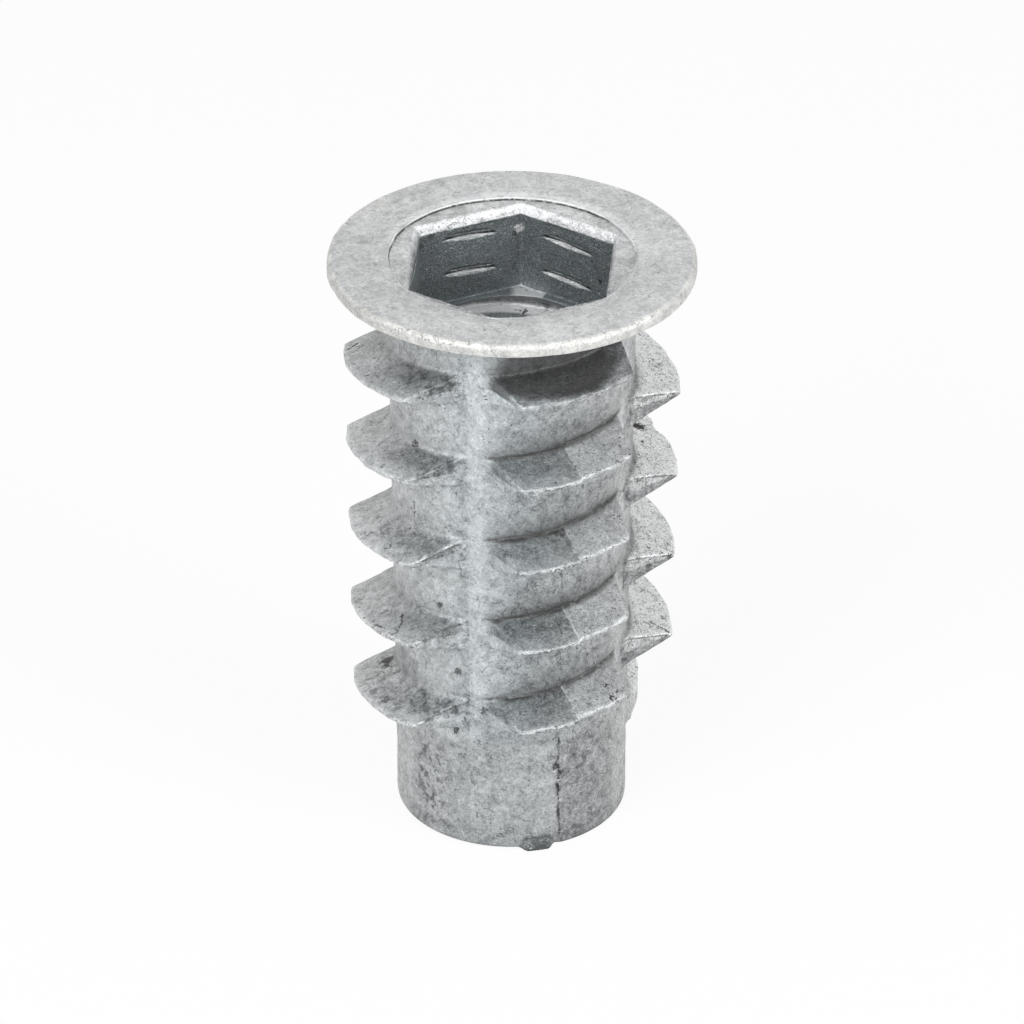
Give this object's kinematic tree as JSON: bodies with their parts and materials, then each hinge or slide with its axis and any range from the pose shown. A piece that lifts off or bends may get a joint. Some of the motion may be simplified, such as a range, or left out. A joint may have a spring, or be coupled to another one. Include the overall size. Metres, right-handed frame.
{
  "type": "threaded insert",
  "caption": "Flanged die-cast threaded insert for wood: hexagon drive socket, tapped through bore, interrupted coarse outer thread and plain pilot.",
  "frame": {"origin": "centre of the pilot's flat end face, on the bore's axis", "axes": "+Z along the bore from the pilot to the flange; the insert stands on its pilot end. +X and +Y have no meaning of their own: the picture is taken from about -Y"},
  "size_m": [0.0118, 0.0118, 0.02],
  "materials": {
    "cast_zinc": "raw as-cast zinc alloy, light grey, matte to satin, mottled"
  },
  "bodies": {
    "root": {"insert": "cast_zinc"}
  },
  "joints": []
}
